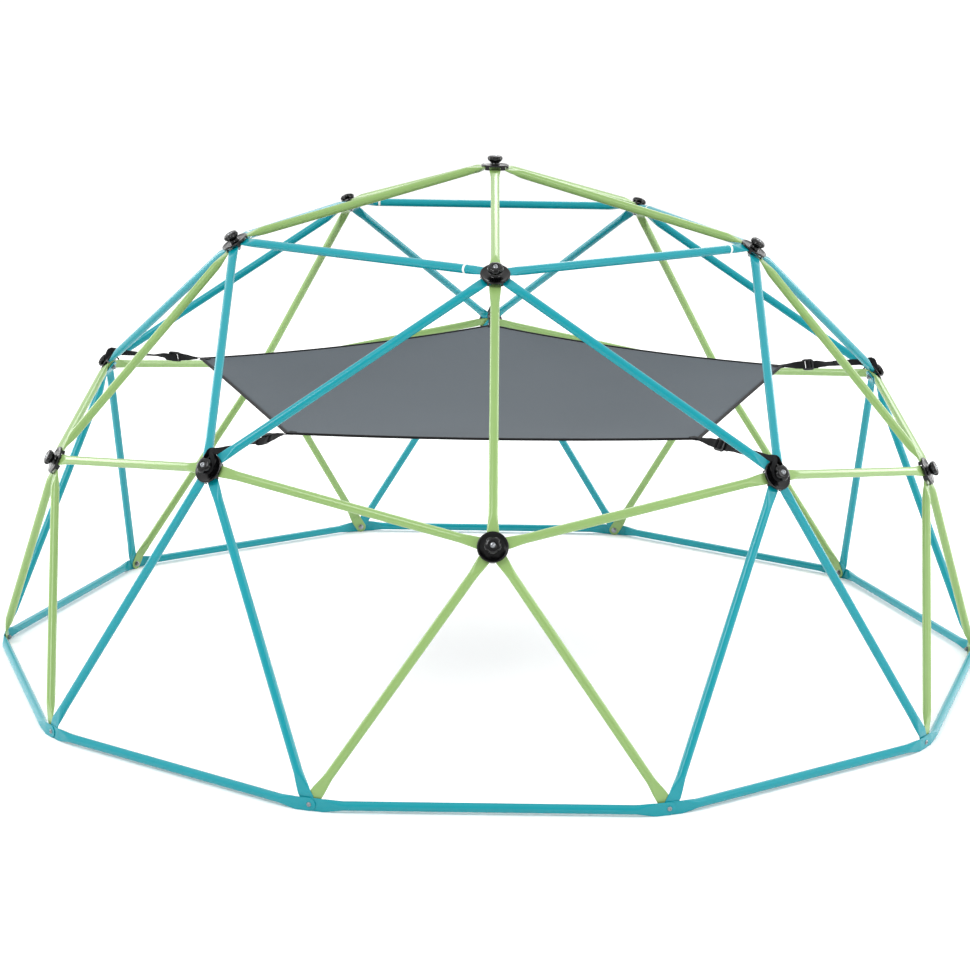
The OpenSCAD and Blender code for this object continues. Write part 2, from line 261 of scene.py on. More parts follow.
class Dome:
    """The joints and tubes, worked out from the settings."""

    coat = 0.1 * MM  # paint between two stacked plates

    def __init__(self, sizes):
        self.sizes = sizes
        self.centre = Vector((0, 0, sizes.plate_w / 2))
        self.plate_t = 2 * sizes.tube_wall
        self.place_h = self.plate_t + self.coat
        five = sizes.base_radius * sizes.five_way_share
        self.apex = self.joint(0, 0, five)
        self.crown = [self.joint(CROWN, i, sizes.base_radius) for i in range(5)]
        self.belt_five = [self.joint(BELT_FIVE, i, five) for i in range(5)]
        self.belt_six = [
            self.joint(BELT_SIX, i + 0.5, sizes.base_radius) for i in range(5)
        ]
        self.base = [
            self.joint(math.pi / 2, j / 2 + 0.25, sizes.base_radius) for j in range(10)
        ]
        self.tubes = self.tube_list()
        self.ends = [end for row in self.tubes.values() for t in row for end in
                     ((t[0], t[1]), (t[1], t[0]))]

    def joint(self, polar, steps, radius):
        az = steps * STEP
        flat = math.sin(polar)
        return self.centre + radius * Vector(
            (flat * math.sin(az), -flat * math.cos(az), math.cos(polar))
        )

    def tube_list(self):
        """Each node's tubes: start, end, and each end's place in its stack of plates."""
        apex, crown, five, six, base = (
            self.apex, self.crown, self.belt_five, self.belt_six, self.base
        )
        rows = {}
        for i in range(5):
            n, after, left = i + 1, (i + 1) % 5, (2 * i + 9) % 10
            a, b, c = 2 * i, 2 * i + 1, (2 * i + 2) % 10
            rows[f"apex_spoke_{n}"] = [(apex, crown[i], i, 5)]
            rows[f"crown_bar_{n}"] = [(crown[i], crown[after], 3, 4)]
            rows[f"riser_{n}"] = [(crown[i], five[i], 0, 4)]
            rows[f"upper_pair_{n}"] = [
                (crown[i], six[i], 2, 5), (crown[after], six[i], 1, 4)
            ]
            rows[f"belt_pair_{n}"] = [
                (five[i], six[i], 3, 2), (five[after], six[i], 2, 3)
            ]
            rows[f"five_way_legs_{n}"] = [
                (five[i], base[left], 0, 0), (five[i], base[a], 1, 0)
            ]
            rows[f"six_way_legs_{n}"] = [(six[i], base[a], 1, 1), (six[i], base[b], 0, 1)]
            rows[f"base_bars_{n}"] = [(base[a], base[b], 2, 3), (base[b], base[c], 2, 3)]
        return rows

    def outward(self, p):
        return (p - self.centre).normalized()

    def neighbours(self, p):
        return [q for start, q in self.ends if (start - p).length < MM]

    def stack_h(self, p):
        return len(self.neighbours(p)) * self.place_h

    def at_joint(self, p):
        """A joint's own frame: Z out along its bolt, X up the dome, or front at the apex."""
        z = self.outward(p)
        x = UP - UP.dot(z) * z
        x = x.normalized() if x.length > MM else Vector((0, -1, 0))
        return axes(p, x, z.cross(x), z)

    def bearing(self, p, q):
        d = self.at_joint(p).to_3x3().transposed() @ (q - p)
        return math.atan2(d.y, d.x)

    def end_width(self, p):
        on_ground = abs(p.z - self.centre.z) < MM
        return self.sizes.plate_w if on_ground else self.sizes.bend_w

    def along(self, a, b):
        """A tube's frame: X from a to b and Z outward, with its origin at a."""
        x = (b - a).normalized()
        mid = self.outward((a + b) / 2)
        z = (mid - mid.dot(x) * x).normalized()
        return axes(a, x, z.cross(x), z)


# ---- Mesh tools ----


def within_one(x):
    return max(-1.0, min(1.0, x))


class Flat:
    """A flattened ring: round when half_w and half_t are equal, a strip when they aren't."""

    crowding = 1.5  # gathers the ring's points at its two edges
    flatness = 0.35  # keeps the faces of a thin strip flat

    def __init__(self, centre, side, up, half_w, half_t):
        self.centre, self.side, self.up = centre, side, up
        self.half_w, self.half_t = half_w, half_t

    def across(self, angle):
        flat = self.half_w - self.half_t
        c = math.cos(angle)
        return flat * within_one(self.crowding * c) + self.half_t * c

    def point(self, angle):
        squareness = 1 + self.flatness * (1 - self.half_t / self.half_w)
        rise = within_one(squareness * math.sin(angle))
        return self.centre + self.side * self.across(angle) + self.up * self.half_t * rise


class Turned:
    """A ring about Z at a height, whose radius may change with the angle."""

    def __init__(self, place, height, radius):
        self.place, self.height, self.radius = place, height, radius

    def point(self, angle):
        r = self.radius(angle) if callable(self.radius) else self.radius
        return self.place @ Vector((r * math.cos(angle), r * math.sin(angle), self.height))


def skin(bm, sections, segments, closed=False, cloth=False):
    """Extrudes a circle once for each section and lays each ring on its section."""
    start = bmesh.ops.create_circle(bm, cap_ends=False, segments=segments, radius=1.0)
    rings = [list({e for v in start["verts"] for e in v.link_edges})]
    made = [(v, 0) for v in start["verts"]]
    for k in range(1, len(sections)):
        grown = bmesh.ops.extrude_edge_only(bm, edges=rings[-1])["geom"]
        fresh = {g for g in grown if isinstance(g, bmesh.types.BMVert)}
        edges = [g for g in grown if isinstance(g, bmesh.types.BMEdge)]
        rings.append([e for e in edges if fresh.issuperset(e.verts)])
        made += [(v, k) for v in fresh]
    if closed:
        bmesh.ops.bridge_loops(bm, edges=rings[0] + rings[-1])
    else:
        for ring in (rings[0], rings[-1]):
            bmesh.ops.edgeloop_fill(bm, edges=ring)
    place_uv = {}
    if cloth:
        length = 0.0
        lengths = []
        for k, s in enumerate(sections):
            if k:
                length += (s.centre - sections[k - 1].centre).length
            lengths.append(length)
    for v, k in made:
        angle = math.atan2(v.co.y, v.co.x)
        if cloth:
            place_uv[v] = (lengths[k], sections[k].across(angle))
        v.co = sections[k].point(angle)
    if cloth:
        layer = bm.loops.layers.uv.verify()
        for v, uv in place_uv.items():
            for loop in v.link_loops:
                loop[layer].uv = uv


def strip(points, ups, half_ws, half_t):
    """Sections of webbing that runs through points, with its face towards ups."""
    rows = []
    for k, p in enumerate(points):
        tangent = points[min(k + 1, len(points) - 1)] - points[max(k - 1, 0)]
        up = ups[k] - ups[k].dot(tangent) / tangent.length_squared * tangent
        up.normalize()
        side = up.cross(tangent).normalized()
        rows.append(Flat(p, side, up, half_ws[k], half_t))
    return rows


def smooth_path(rows, cuts):
    """Points between rows of (position, up, half width), on a smooth curve."""
    made = []
    for k in range(len(rows) - 1):
        a, b = rows[k], rows[k + 1]
        before = rows[max(k - 1, 0)]
        after = rows[min(k + 2, len(rows) - 1)]
        for c in range(cuts):
            t = c / cuts
            pos = 0.5 * (
                2 * a[0] + (b[0] - before[0]) * t
                + (2 * before[0] - 5 * a[0] + 4 * b[0] - after[0]) * t * t
                + (3 * a[0] - before[0] - 3 * b[0] + after[0]) * t * t * t
            )
            made.append((pos, between(a[1], b[1], t), between(a[2], b[2], t)))
    made.append(rows[-1])
    return made


def finish(bm, name, body, material, nodes, bevel=0.0, sharp=40.0):
    """Makes the bmesh a piece that rides on its body and stands for its nodes."""
    bmesh.ops.recalc_face_normals(bm, faces=bm.faces[:])
    mesh = bpy.data.meshes.new(name)
    bm.to_mesh(mesh)
    bm.free()
    mesh.shade_smooth()
    mesh.set_sharp_from_angle(angle=math.radians(sharp))
    mesh.materials.append(material)
    piece = bpy.data.objects.new(name, mesh)
    bpy.context.scene.collection.objects.link(piece)
    if bevel:
        rounded = piece.modifiers.new("Rounded edges", "BEVEL")
        rounded.width = bevel
        rounded.segments = 2
        rounded.limit_method = "ANGLE"
        rounded.angle_limit = math.radians(sharp)
        rounded.harden_normals = True
    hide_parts(*nodes)
    if body:
        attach(piece, body)
    return piece


# ---- Finishes ----


def linear(hex_colour):
    """An sRGB hex colour as linear RGBA."""
    parts = [int(hex_colour[i : i + 2], 16) / 255 for i in (1, 3, 5)]
    return [
        c / 12.92 if c <= 0.04045 else ((c + 0.055) / 1.055) ** 2.4 for c in parts
    ] + [1.0]


def add_node(tree, kind, inputs, **settings):
    """Adds a node with its settings. An input is a value or another node's output."""
    made = tree.nodes.new(kind)
    for key, value in settings.items():
        setattr(made, key, value)
    for socket, source in inputs.items():
        if isinstance(source, bpy.types.NodeSocket):
            tree.links.new(source, made.inputs[socket])
        else:
            made.inputs[socket].default_value = source
    return made


def made_once(make):
    """Turns a maker of a finish into one that gives back the finish if it's there."""

    def find_or_make(name, *settings):
        return bpy.data.materials.get(name) or make(name, *settings)

    return find_or_make


def new_finish(name, sockets):
    """A material with its shader's fixed values set, and the parts to build on."""
    material = bpy.data.materials.new(name)
    material.use_nodes = True
    tree = material.node_tree
    shader = tree.nodes["Principled BSDF"]
    for socket, value in sockets.items():
        shader.inputs[socket].default_value = value
    return material, tree, shader


def shaded(colour, factor):
    return [c * factor for c in linear(colour)[:3]] + [1.0]


def vary(tree, shader, coords, size, colour, low, high):
    """Drifts the base colour between two brightnesses over patches of a size."""
    patches = add_node(
        tree, "ShaderNodeTexNoise",
        {"Vector": coords, "Scale": 1 / size, "Detail": 3.0, "Roughness": 0.55},
    )
    mixed = add_node(
        tree, "ShaderNodeMix",
        {"Factor": patches.outputs["Fac"], 6: shaded(colour, low),
         7: shaded(colour, high)},
        data_type="RGBA",
    )
    tree.links.new(mixed.outputs[2], shader.inputs["Base Color"])


def vary_gloss(tree, shader, coords, size, detail, low, high):
    """Drifts the roughness between two values over patches of a size."""
    patches = add_node(
        tree, "ShaderNodeTexNoise", {"Vector": coords, "Scale": 1 / size, "Detail": detail}
    )
    gloss = add_node(
        tree, "ShaderNodeMapRange",
        {"Value": patches.outputs["Fac"], "To Min": low, "To Max": high},
    )
    tree.links.new(gloss.outputs["Result"], shader.inputs["Roughness"])


@made_once
def powder_coat(name, colour):
    """Polyester powder coat: semi-gloss, with a fine orange peel."""
    material, tree, shader = new_finish(
        name, {"IOR": 1.4, "Coat Weight": 0.12, "Coat Roughness": 0.08}
    )
    coords = add_node(tree, "ShaderNodeTexCoord", {}).outputs["Object"]
    vary(tree, shader, coords, 120 * MM, colour, 0.95, 1.05)
    # Orange peel is about 2 mm from crest to crest.
    peel = add_node(
        tree, "ShaderNodeTexNoise", {"Vector": coords, "Scale": 1 / (2 * MM), "Detail": 2.0}
    )
    bump = add_node(
        tree, "ShaderNodeBump",
        {"Height": peel.outputs["Fac"], "Strength": 0.12, "Distance": 0.15 * MM},
    )
    tree.links.new(bump.outputs["Normal"], shader.inputs["Normal"])
    vary_gloss(tree, shader, coords, 60 * MM, 4.0, 0.2, 0.3)
    return material


@made_once
def moulded_plastic(name, colour, low, high):
    """Injection-moulded polypropylene: dark, with a soft gloss and faint flow marks."""
    material, tree, shader = new_finish(name, {"IOR": 1.42})
    coords = add_node(tree, "ShaderNodeTexCoord", {}).outputs["Object"]
    vary(tree, shader, coords, 40 * MM, colour, 0.85, 1.3)
    grain = add_node(
        tree, "ShaderNodeTexNoise", {"Vector": coords, "Scale": 1 / (0.8 * MM), "Detail": 3.0}
    )
    bump = add_node(
        tree, "ShaderNodeBump",
        {"Height": grain.outputs["Fac"], "Strength": 0.15, "Distance": 0.05 * MM},
    )
    tree.links.new(bump.outputs["Normal"], shader.inputs["Normal"])
    vary_gloss(tree, shader, coords, 15 * MM, 2.0, low, high)
    return material


@made_once
def zinc_plate(name, colour):
    """Bright zinc plate on rolled steel: metal with a faint spangle and fine scratches."""
    material, tree, shader = new_finish(name, {"Metallic": 1.0})
    coords = add_node(tree, "ShaderNodeTexCoord", {}).outputs["Object"]
    vary(tree, shader, coords, 3 * MM, colour, 0.85, 1.0)
    vary_gloss(tree, shader, coords, MM, 5.0, 0.18, 0.4)
    return material


@made_once
def vinyl_tape(name, colour):
    """White vinyl tape: smooth and slightly dusty."""
    material, tree, shader = new_finish(name, {"IOR": 1.53})
    coords = add_node(tree, "ShaderNodeTexCoord", {}).outputs["Object"]
    vary(tree, shader, coords, 6 * MM, colour, 0.93, 1.0)
    vary_gloss(tree, shader, coords, 2 * MM, 4.0, 0.35, 0.55)
    return material


def wave_scale(spacing):
    """A Wave node's scale for bands that far apart."""
    return TURN / 20 / spacing


@made_once
def woven(name, colour, warp, weft, low, high, sheen):
    """Woven synthetic yarn: warp and weft ribs on the UV map, which is in metres."""
    material, tree, shader = new_finish(
        name, {"Roughness": 0.85, "Specular IOR Level": 0.2, "Sheen Weight": sheen}
    )
    uv = add_node(tree, "ShaderNodeUVMap", {}).outputs["UV"]
    ribs = [
        add_node(
            tree, "ShaderNodeTexWave",
            {"Vector": uv, "Scale": wave_scale(spacing), "Distortion": 0.6,
             "Detail": 1.0, "Detail Scale": 2.0},
            bands_direction=direction,
        ).outputs["Fac"]
        for spacing, direction in ((warp, "X"), (weft, "Y"))
    ]
    yarns = add_node(tree, "ShaderNodeMath", {0: ribs[0], 1: ribs[1]}, operation="MULTIPLY")
    slub = add_node(
        tree, "ShaderNodeTexNoise", {"Vector": uv, "Scale": 1 / (25 * MM), "Detail": 6.0,
                                     "Roughness": 0.7},
    )
    tone = add_node(
        tree, "ShaderNodeMath", {0: yarns.outputs[0], 1: slub.outputs["Fac"]},
        operation="ADD",
    )
    mixed = add_node(
        tree, "ShaderNodeMix",
        {"Factor": tone.outputs[0], 6: shaded(colour, low), 7: shaded(colour, high)},
        data_type="RGBA",
    )
    tree.links.new(mixed.outputs[2], shader.inputs["Base Color"])
    bump = add_node(
        tree, "ShaderNodeBump",
        {"Height": yarns.outputs[0], "Strength": 0.5, "Distance": 0.25 * MM},
    )
    tree.links.new(bump.outputs["Normal"], shader.inputs["Normal"])
    return material


def webbing_finish(colours):
    """Black polypropylene webbing: ribs 2 mm apart along it and 3 mm apart across it."""
    return woven("black_webbing", colours.webbing, 2 * MM, 3 * MM, 0.7, 1.5, 0.04)


# ---- Tubes ----

RING = 28  # segments round a tube
BEND_R = 5 * MM  # half the length of the bend in a tube's end
BEND_BULGE = 1.02  # a bend's thickness over its plate's
TIP_ROWS = 6
TIP_START = math.radians(7)  # the first row, just short of the tip's point
FLARE_ROWS = 8


def end_rows(dome, p, direction, place, slope):
    """Rows from a tube's tip to its round part: along, up, lean, half width, half depth."""
    s = dome.sizes
    tilt = -math.asin(dome.outward(p).dot(direction))
    lift = (place + 0.5) * dome.place_h - dome.stack_h(p) / 2
    half_t, bend_w = dome.plate_t / 2, dome.end_width(p)
    tip = s.plate_w / 2

    def on_plate(d):
        return (d * math.cos(tilt) - lift * math.sin(tilt),
                d * math.sin(tilt) + lift * math.cos(tilt), tilt)

    bend = on_plate(s.bend_at)
    rows = []
    for k in range(TIP_ROWS + 1):
        turn = between(TIP_START, math.pi / 2, k / TIP_ROWS)
        rows.append((*on_plate(-tip * math.cos(turn)), tip * math.sin(turn), half_t))
    for d in (s.bend_at / 2, s.bend_at - BEND_R):
        rows.append((*on_plate(d), between(tip, bend_w / 2, d / s.bend_at), half_t))
    rows.append((*bend[:2], (tilt + slope) / 2, bend_w / 2, half_t * BEND_BULGE))
    for k in range(1, FLARE_ROWS + 1):
        share = k / FLARE_ROWS
        d = share * s.flare_l
        open_up = (share + share * share * (3 - 2 * share)) / 2
        rows.append((
            bend[0] + d * math.cos(slope), bend[1] + d * math.sin(slope), slope,
            between(bend_w, s.tube_d, open_up) / 2,
            between(dome.plate_t, s.tube_d, open_up) / 2,
        ))
    return bend, rows


def tube_sections(dome, tube):
    a, b, place_a, place_b = tube
    x = (b - a).normalized()
    chord = (b - a).length
    bend_a, _ = end_rows(dome, a, x, place_a, 0)
    bend_b, _ = end_rows(dome, b, -x, place_b, 0)
    slope = math.atan2(bend_b[1] - bend_a[1], chord - bend_a[0] - bend_b[0])
    rows_a = end_rows(dome, a, x, place_a, slope)[1]
    rows_b = end_rows(dome, b, -x, place_b, -slope)[1]
    rows = rows_a + [
        (chord - along, up, -lean, half_w, half_t)
        for along, up, lean, half_w, half_t in reversed(rows_b)
    ]
    place = dome.along(a, b)
    turn = place.to_3x3()
    return [
        Flat(place @ Vector((along, 0, up)), turn @ Vector((0, 1, 0)),
             turn @ Vector((-math.sin(lean), 0, math.cos(lean))), half_w, half_t)
        for along, up, lean, half_w, half_t in rows
    ]


GREEN_GROUPS = ("apex_spoke", "riser", "belt_pair", "five_way_legs")


class CLIMBER_OT_tubes(bpy.types.Operator):
    """Forms every tube with its pressed, bent and flared ends"""

    bl_idname = "climber.tubes"
    bl_label = "Tubes"

    def execute(self, context):
        scene = context.scene
        dome = Dome(scene.climber_dome)
        green = powder_coat("green_powder_coat", scene.climber_finish.green)
        blue = powder_coat("blue_powder_coat", scene.climber_finish.blue)
        for node, tubes in dome.tubes.items():
            bm = bmesh.new()
            for tube in tubes:
                skin(bm, tube_sections(dome, tube), RING)
            is_green = node.startswith(GREEN_GROUPS)
            finish(bm, f"{node}_formed", "frame", green if is_green else blue,
                   [node])
        return {"FINISHED"}


# ---- Caps ----

SKIRT_DROP = 10 * MM  # a cap's skirt below the outermost plate's face
SKIRT_T = 3 * MM
NOTCH_ROOM = 1.4 * MM  # a notch's width less the plate's
NECK_H = 9.5 * MM  # narrowest point of the neck
HEAD_H = 31 * MM  # top of the knob
RECESS_H = 27 * MM  # floor of the bolt head's recess

# Height and radius of a knob's silhouette in mm, from its neck to its crown. It is
# drawn for a knob 48 mm across, and its lobes start above the row of radius 14.
KNOB_DRAWN_D = 48 * MM
NECK_TOP_R = 14
KNOB_SIDE = [
    (9.5, 13), (11.5, 14), (14, 16.8), (16, 19.2), (18, 21.4), (20, 22.9), (22, 23.6),
    (23.5, 23.7), (25, 23.2), (26.5, 22.2), (28, 20.7), (29.3, 18.8), (30.3, 16.4),
    (30.9, 13.6), (31, 10.6),
]


def flange(bm, place, cap_r, bore):
    """The dished flange with its raised rim and neck, turned about the bolt."""
    outline = [
        (bore, 0), (cap_r, 0), (cap_r, 4 * MM), (cap_r - 1.2 * MM, 5 * MM),
        (cap_r - 3.6 * MM, 5 * MM), (cap_r - 6.2 * MM, 3 * MM), (18.5 * MM, 3 * MM),
        (16.5 * MM, 4.2 * MM), (14.2 * MM, 6.6 * MM), (13 * MM, NECK_H + MM),
        (bore, NECK_H + MM),
    ]
    before = set(bm.verts)
    verts = [bm.verts.new((r, 0, z)) for r, z in outline]
    edges = [bm.edges.new((v, verts[k - 1])) for k, v in enumerate(verts)]
    bmesh.ops.spin(
        bm, geom=verts + edges, cent=(0, 0, 0), axis=(0, 0, 1), angle=TURN, steps=72,
        use_merge=True, use_duplicate=False,
    )
    bmesh.ops.transform(
        bm, matrix=place, verts=[v for v in bm.verts if v not in before]
    )


def skirt_block(bm, place, cap_r, start, end):
    """One block of the skirt, between two tubes' notches."""
    before = set(bm.verts)
    turn = Matrix.Rotation(start, 3, "Z")
    corners = [
        bm.verts.new(turn @ Vector((r, 0, z)))
        for r, z in ((cap_r - SKIRT_T, 0.4 * MM), (cap_r - 0.1 * MM, 0.4 * MM),
                     (cap_r - 0.1 * MM, -SKIRT_DROP), (cap_r - SKIRT_T, -SKIRT_DROP))
    ]
    face = bm.faces.new(corners)
    bmesh.ops.spin(
        bm, geom=[face], cent=(0, 0, 0), axis=(0, 0, 1), angle=end - start,
        steps=max(2, round((end - start) / math.radians(6))), use_duplicate=False,
    )
    bmesh.ops.transform(
        bm, matrix=place, verts=[v for v in bm.verts if v not in before]
    )


def knob_outline(knob_d, lobes):
    """The radius of the lobed plan at an angle: round lobes blended into a round core."""
    lobe_r, reach, core = knob_d * 0.21, knob_d * 0.29, knob_d * 0.375
    pitch = TURN / lobes
    blend = 24

    def radius(angle):
        off = (angle + TURN) % pitch - pitch / 2
        inside = lobe_r**2 - (reach * math.sin(off)) ** 2
        lobe = reach * math.cos(off) + math.sqrt(max(inside, 0))
        return (lobe**blend + core**blend) ** (1 / blend)

    return radius


def knob(bm, place, fittings):
    """The lobed knob: its silhouette trimmed to its plan, and the recess in its top."""
    plan = knob_outline(fittings.knob_d, fittings.knob_lobes)
    size = fittings.knob_d / KNOB_DRAWN_D
    trim = 16

    def trimmed(side):
        return lambda angle: (side**-trim + plan(angle) ** -trim) ** (-1 / trim)

    bore = fittings.hub_head_d / 2 + 0.4 * MM
    sections = [
        Turned(place, h * MM, trimmed(r * MM * size) if r > NECK_TOP_R else r * MM * size)
        for h, r in KNOB_SIDE
    ]
    sections += [
        Turned(place, HEAD_H - drop, bore + wider)
        for drop, wider in ((0.1 * MM, 0.9 * MM), (0.5 * MM, 0.2 * MM), (MM, 0.0),
                            (HEAD_H - RECESS_H, 0.0))
    ]
    sections.append(Turned(place, RECESS_H, fittings.bolt_d / 2))
    skin(bm, sections, 90)


def cap(bm, dome, p, fittings):
    place = dome.at_joint(p) @ Matrix.Translation((0, 0, dome.stack_h(p) / 2))
    cap_r = fittings.cap_d / 2
    flange(bm, place, cap_r, fittings.bolt_d / 2)
    half_notch = math.asin((dome.end_width(p) + NOTCH_ROOM) / 2 / (cap_r - SKIRT_T / 2))
    bearings = sorted(dome.bearing(p, q) for q in dome.neighbours(p))
    for k, left in enumerate(bearings):
        right = bearings[(k + 1) % len(bearings)] + (TURN if k == len(bearings) - 1 else 0)
        if right - left > 2.05 * half_notch:
            skirt_block(bm, place, cap_r, left + half_notch, right - half_notch)
    knob(bm, place, fittings)


class CLIMBER_OT_caps(bpy.types.Operator):
    """Moulds the lobed cap on every hub"""

    bl_idname = "climber.caps"
    bl_label = "Caps"

    def execute(self, context):
        scene = context.scene
        dome = Dome(scene.climber_dome)
        plastic = moulded_plastic(
            "black_moulded_plastic", scene.climber_finish.plastic, 0.14, 0.26
        )
        rings = {
            "apex_cap": [dome.apex],
            "crown_caps": dome.crown,
            "belt_caps_five_way": dome.belt_five,
            "belt_caps_six_way": dome.belt_six,
        }
        for node, hubs in rings.items():
            bm = bmesh.new()
            for p in hubs:
                cap(bm, dome, p, scene.climber_fittings)
            finish(bm, f"{node}_moulded", "frame", plastic, [node],
                   bevel=0.5 * MM)
        return {"FINISHED"}


# ---- Fasteners ----

WASHER_T = 1.6 * MM
NUT_H = 6.5 * MM
THREAD_PAST_NUT = 3 * MM
THREAD_PITCH = 1.25 * MM


def hexagon(flats):
    """The radius of a hexagon, by its width across flats, at an angle."""
    sixth = TURN / 6
    return lambda angle: flats / 2 / math.cos((angle + TURN) % sixth - sixth / 2)


def button_bolt(bm, place, head_d, bolt_d, shank_l):
    """A button head with a hex socket, a shank and the end of its thread."""
    head_r, head_t = head_d / 2, head_d * 0.3
    socket = hexagon(head_d * 0.32)
    tip_r, root_r, crest_r = bolt_d * 0.36, bolt_d * 0.43, bolt_d / 2
    rows = [Turned(place, -shank_l, tip_r)]
    crests = int((THREAD_PAST_NUT + 2 * MM) / THREAD_PITCH)
    for k in range(crests):
        start = -shank_l + (k + 0.4) * THREAD_PITCH
        rows.append(Turned(place, start, root_r))
        rows.append(Turned(place, start + THREAD_PITCH / 2, crest_r))
    rows.append(Turned(place, -0.1 * MM, crest_r))
    rows.append(Turned(place, 0, head_r * 0.98))
    dome_end, fullness = math.radians(72), 0.75
    for degrees in (12, 25, 38, 50, 60, 68):
        a = math.radians(degrees)
        rows.append(Turned(
            place, head_t * math.sin(a) / math.sin(dome_end),
            head_r * math.cos(a) ** fullness,
        ))
    rows.append(Turned(place, head_t, lambda angle: socket(angle) + 0.5 * MM))
    rows.append(Turned(place, head_t - 0.25 * MM, socket))
    rows.append(Turned(place, head_t * 0.4, socket))
    rows.append(Turned(place, head_t * 0.3, head_d * 0.05))
    skin(bm, rows, 36)


def hex_nut(bm, place, nut_af):
    flats = hexagon(nut_af)

    def at(height, room):
        limit = nut_af / 2 * 0.97 + room * 1.7
        return Turned(place, height, lambda angle: min(flats(angle), limit))

    rooms = (0.0, 0.25 * MM, 0.55 * MM, 1.0 * MM)
    rows = [at(-NUT_H + room, room) for room in rooms]
    rows += [at(-room, room) for room in reversed(rooms)]
    skin(bm, rows, 48)


class CLIMBER_OT_fasteners(bpy.types.Operator):
    """Makes the bolts and nuts, and plates the washers"""

    bl_idname = "climber.fasteners"
    bl_label = "Fasteners"

    def execute(self, context):
        scene = context.scene
        dome = Dome(scene.climber_dome)
        fittings = scene.climber_fittings
        zinc = zinc_plate("zinc_plated_steel", scene.climber_finish.zinc)
        hubs = [dome.apex, *dome.crown, *dome.belt_five, *dome.belt_six]
        for kind, joints, head_d, seat in (
            ("hub", hubs, fittings.hub_head_d, RECESS_H),
            ("base", dome.base, fittings.base_head_d, 0.0),
        ):
            bolts, nuts = bmesh.new(), bmesh.new()
            for p in joints:
                stack = dome.stack_h(p)
                out = dome.at_joint(p)
                button_bolt(
                    bolts, out @ Matrix.Translation((0, 0, stack / 2 + seat)), head_d,
                    fittings.bolt_d, seat + stack + WASHER_T + NUT_H + THREAD_PAST_NUT,
                )
                hex_nut(nuts, out @ Matrix.Translation((0, 0, -stack / 2 - WASHER_T)),
                        fittings.nut_af)
            finish(bolts, f"{kind}_bolts_formed", "frame", zinc,
                   [f"{kind}_bolts"], sharp=35)
            finish(nuts, f"{kind}_nuts_formed", "frame", zinc,
                   [f"{kind}_nuts"], sharp=35)
        dress("washers", zinc)
        return {"FINISHED"}


def dress(node, material):
    """Gives a node of the frame its finish."""
    piece = frame["nodes"][node]
    piece.data.materials.clear()
    piece.data.materials.append(material)


class CLIMBER_OT_bands(bpy.types.Operator):
    """Finishes the white bands round the crown bars"""

    bl_idname = "climber.bands"
    bl_label = "Bands"

    def execute(self, context):
        vinyl = vinyl_tape("white_vinyl_tape", context.scene.climber_finish.band)
        dress("crown_bar_bands", vinyl)
        return {"FINISHED"}


# ---- Hammock ----

CLOTH_T = 1.2 * MM
TAPE_T = 6.4 * MM
TAPE_PAST_EDGE = 1.5 * MM
TAB_SEWN = 32 * MM  # length of a tab over the cloth
TAB_HOLD = 26 * MM  # length of cloth that a tab keeps from sagging
ON_EDGE = 65  # degrees that a buckle stands up from lying flat
WRAP_ROWS = 8
BUCKLE_L = 38 * MM
BUCKLE_W = 36 * MM
BUCKLE_T = 5.6 * MM
BUCKLE_BAR = 7 * MM  # width of a buckle's inner and outer bars, and of its sides
BUCKLE_MIDDLE = 11 * MM  # width of its middle bar
BUCKLE_DRAWN_IN = 0.84  # width of a buckle's ends over that of its middle
SLACK = 0.3 * MM  # between a bar and the webbing round it
NECK_LOOP_R = 17.6 * MM
NECK_LOOP_H = 8 * MM  # the band's middle above the outermost plate's face
NECK_LOOP_W = 8.4 * MM  # height of the folded band
NECK_LOOP_T = 2.6 * MM
NECK_LOOP_ROWS = 40


class Hang:
    """Where the hammock and its straps are, worked out from the settings and the frame."""

    def __init__(self, scene):
        self.dome = Dome(scene.climber_dome)
        self.sizes = scene.climber_hammock
        self.fittings = scene.climber_fittings
        self.height = HINGES["strap_1"].z
        self.hinge_r = HINGES["strap_1"].to_2d().length
        self.apothem = self.sizes.corner_r * math.cos(STEP / 2)

    def bowl(self, r):
        return self.height - self.sizes.sag * (1 - (r / self.sizes.corner_r) ** 2)

    def corner(self, i, degrees=0.0):
        """A frame at the hammock's level: X towards six-way hub i, turned about X."""
        az = STEP * (i + 0.5)
        out = Vector((math.sin(az), -math.cos(az), 0))
        place = axes(Vector((0, 0, self.height)), out, UP.cross(out), UP)
        return place @ Matrix.Rotation(math.radians(degrees), 4, "X")

    def row(self, i, r, lift, degrees, half_w):
        """A row of webbing at a radius: its point, its face and half its width."""
        place = self.corner(i, degrees)
        return place @ Vector((r, 0, lift)), place.to_3x3() @ UP, half_w

    def bar_rows(self, i, bar_r, bar, first, last, half_w):
        """Rows of webbing that wraps a buckle's bar."""
        place = self.corner(i, ON_EDGE)
        turn = place.to_3x3()
        gap = SLACK + self.sizes.webbing_t / 2
        rows = []
        for k in range(WRAP_ROWS + 1):
            a = math.radians(between(first, last, k / WRAP_ROWS))
            out = Vector((math.cos(a), 0, math.sin(a)))
            reach = Vector(((bar / 2 + gap) * out.x, 0, (BUCKLE_T / 2 + gap) * out.z))
            rows.append((place @ (Vector((bar_r, 0, 0)) + reach), turn @ out, half_w))
        return rows


